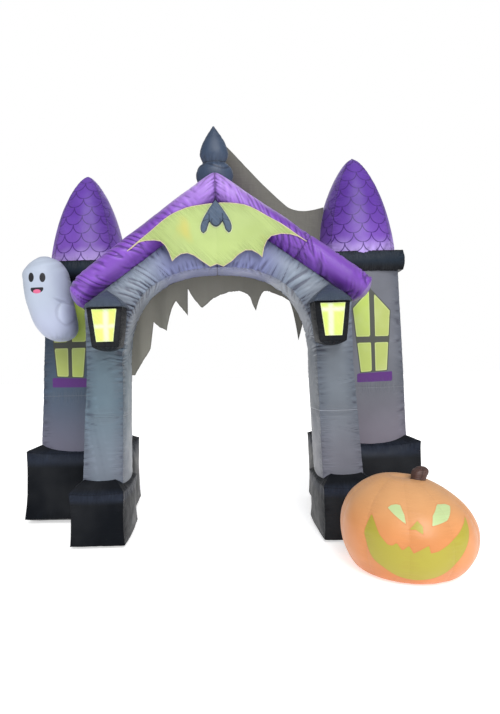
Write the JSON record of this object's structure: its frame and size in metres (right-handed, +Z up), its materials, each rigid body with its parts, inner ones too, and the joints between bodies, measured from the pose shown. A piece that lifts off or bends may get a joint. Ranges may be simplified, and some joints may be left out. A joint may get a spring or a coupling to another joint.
{
  "type": "inflatable arch",
  "caption": "Free-standing inflatable archway of blown-up cloth: arch under a gable roof between turrets, with lanterns, bat panel, ghost, pumpkin and a torn cloth hung behind.",
  "frame": {"origin": "the middle of the footprint's bounding box, on the ground", "axes": "+X to the right as seen from the front, across the walkway; +Y backwards through the walkway, away from the viewer; +Z up"},
  "size_m": [3.279, 2.3408, 3.052],
  "materials": {
    "grey": "woven nylon with a soft sheen, puckered along its seams",
    "black": "woven nylon, smooth and slightly glossy",
    "purple": "woven nylon with a sheen, printed with darker scales on the turrets",
    "slate": "woven nylon with a dark seam edge",
    "lime": "thin printed cloth sheet, slightly creased",
    "pane": "thin printed cloth sewn on",
    "white": "woven nylon, pale with lavender shading",
    "orange": "woven nylon with printed features",
    "brown": "woven nylon",
    "cloth": "thin open-woven cloth with torn edges"
  },
  "bodies": {
    "root": {"arch": "grey", "bat_body": "slate", "bat_wings": "lime", "cone_left": "purple", "cone_right": "purple", "cornice_left": "black", "cornice_right": "black", "finial": "slate", "front_base_left": "black", "front_base_right": "black", "gable_roof": "purple", "ghost": "white", "lantern_left": "black", "lantern_pane_left": "pane", "lantern_pane_right": "pane", "lantern_right": "black", "lantern_roof_left": "slate", "lantern_roof_right": "slate", "pumpkin": "orange", "pumpkin_stem": "brown", "rear_base_left": "black", "rear_base_right": "black", "tattered_cloth": "cloth", "tower_left": "grey", "tower_right": "grey"}
  },
  "joints": []
}
